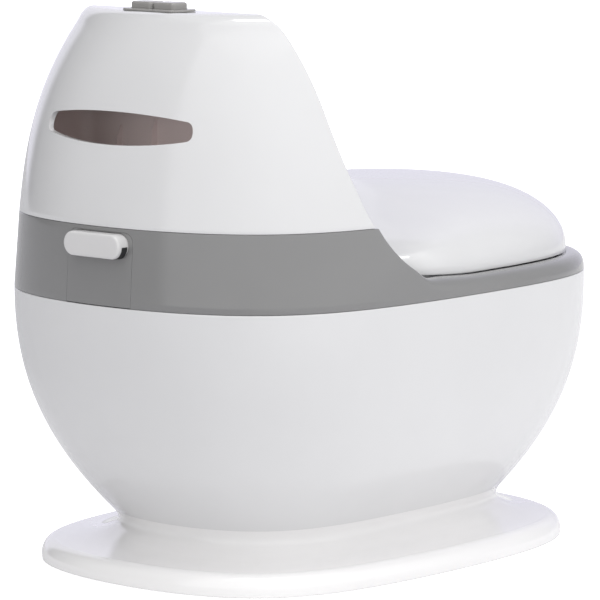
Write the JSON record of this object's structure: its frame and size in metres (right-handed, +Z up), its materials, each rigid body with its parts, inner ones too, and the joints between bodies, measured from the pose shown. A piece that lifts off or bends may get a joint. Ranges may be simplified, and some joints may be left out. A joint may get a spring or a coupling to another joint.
{
  "type": "potty training chair",
  "caption": "Toilet-shaped potty chair: oval pedestal, round bowl, grey band with swept wings, domed hinged lid, tall tank backrest with wipes slot and top push buttons.",
  "frame": {"origin": "on the floor under the middle of the chair's outline", "axes": "+Z up, -Y to the front where the child's legs go, +Y to the back of the tank, +X to the seated child's left"},
  "size_m": [0.295, 0.4064, 0.3762],
  "materials": {
    "white_gloss": "gloss white",
    "grey_gloss": "gloss mid grey",
    "seat_white": "satin white",
    "pot_grey": "satin light grey",
    "button_white": "gloss white",
    "button_grey": "gloss grey",
    "rubber": "matte",
    "inner_plastic": "matte",
    "black_plastic": "matte",
    "steel": "bright",
    "board_green": "matte",
    "battery": "printed sleeve"
  },
  "bodies": {
    "base": {"pedestal_foot": "white_gloss", "bowl_shell": "white_gloss", "seat_deck": "grey_gloss", "latch_panel": "grey_gloss", "seat_ring": "seat_white", "pot": "pot_grey", "foot_pad_1": "rubber", "foot_pad_2": "rubber", "foot_pad_3": "rubber", "foot_pad_4": "rubber", "foot_pad_5": "rubber", "foot_pad_6": "rubber", "foot_screw_1": "steel", "foot_screw_2": "steel", "foot_screw_3": "steel", "foot_screw_4": "steel", "latch_screw_1": "steel", "latch_screw_2": "steel", "hinge_pin_left": "steel", "hinge_pin_right": "steel", "release_spring": "steel", "latch_guide": "inner_plastic", "hinge_bracket_left": "inner_plastic", "hinge_bracket_right": "inner_plastic", "wipes_box": "inner_plastic"},
    "lid_body": {"lid": "white_gloss", "lid_arm_left": "inner_plastic", "lid_arm_right": "inner_plastic"},
    "cover_body": {"tank_cover": "white_gloss", "flush_housing": "button_grey", "sound_board": "board_green", "battery_case": "inner_plastic", "case_screw_1": "steel", "case_screw_2": "steel", "speaker": "black_plastic", "battery_1": "battery", "battery_2": "battery", "battery_door": "inner_plastic", "flush_spring_left": "steel", "flush_spring_right": "steel"},
    "flush_left_body": {"flush_button_left": "button_grey"},
    "flush_right_body": {"flush_button_right": "button_grey"},
    "release_body": {"release_button": "button_white"}
  },
  "joints": [
    {"name": "lid_hinge", "type": "hinge", "parent": "base", "child": "lid_body", "pos_m": [0, 0.05, 0.2095], "axis": [-1, 0, 0], "range_deg": [0, 90]},
    {"name": "cover_lift", "type": "slide", "parent": "base", "child": "cover_body", "axis": [0, 0, 1], "range_m": [0, 0.2]},
    {"name": "flush_left_press", "type": "slide", "parent": "cover_body", "child": "flush_left_body", "axis": [0, 0, -1], "range_m": [0, 0.003], "stiffness_N_per_m": 300, "springref_m": -0.002, "deforming": ["flush_spring_left"]},
    {"name": "flush_right_press", "type": "slide", "parent": "cover_body", "child": "flush_right_body", "axis": [0, 0, -1], "range_m": [0, 0.003], "stiffness_N_per_m": 300, "springref_m": -0.002, "deforming": ["flush_spring_right"]},
    {"name": "release_press", "type": "slide", "parent": "base", "child": "release_body", "axis": [0, -1, 0], "range_m": [0, 0.004], "stiffness_N_per_m": 400, "springref_m": -0.002, "deforming": ["release_spring"]}
  ]
}
